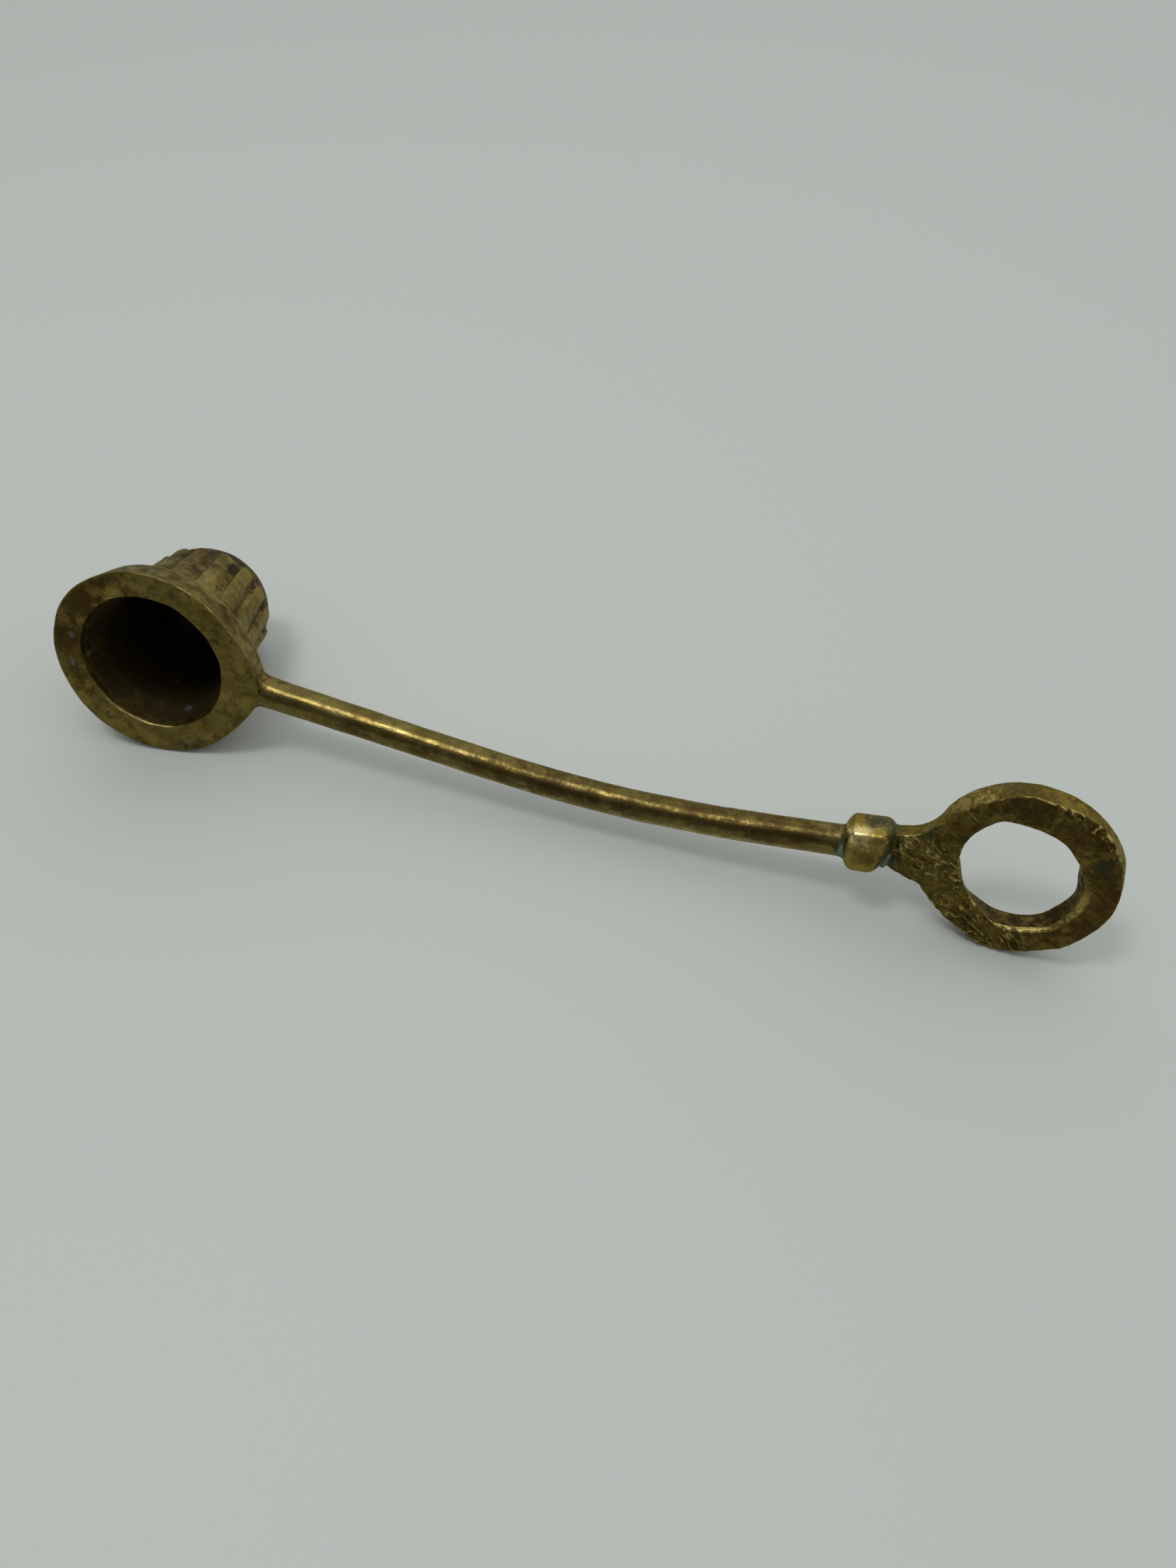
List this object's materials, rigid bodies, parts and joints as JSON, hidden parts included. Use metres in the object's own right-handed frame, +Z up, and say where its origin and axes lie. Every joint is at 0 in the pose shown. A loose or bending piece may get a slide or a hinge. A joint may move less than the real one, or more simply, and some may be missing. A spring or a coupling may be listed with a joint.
{
  "type": "candle snuffer",
  "caption": "Brass candle snuffer lying on its side: a fluted bell with a broad flange, a slim bent stem, a faceted collar and a flat finger ring.",
  "frame": {"origin": "on the table, under the middle of the object's box", "axes": "+X along the stem from the bell to the finger ring, +Y the way the bell's mouth faces away from, +Z up from the table"},
  "size_m": [0.2048, 0.0416, 0.0392],
  "materials": {
    "cast_bell_brass": "aged satin with brown patina",
    "drawn_stem_brass": "worn semi-gloss with brown spots",
    "collar_brass": "worn semi-gloss",
    "cast_ring_brass": "filed and aged",
    "braze_filler": "dull with a pale green bloom"
  },
  "bodies": {
    "root": {"bell": "cast_bell_brass", "stem": "drawn_stem_brass", "collar": "collar_brass", "finger_ring": "cast_ring_brass", "rim_braze_upper": "braze_filler", "rim_braze_lower": "braze_filler", "stem_braze": "braze_filler", "neck_braze": "braze_filler"}
  },
  "joints": []
}
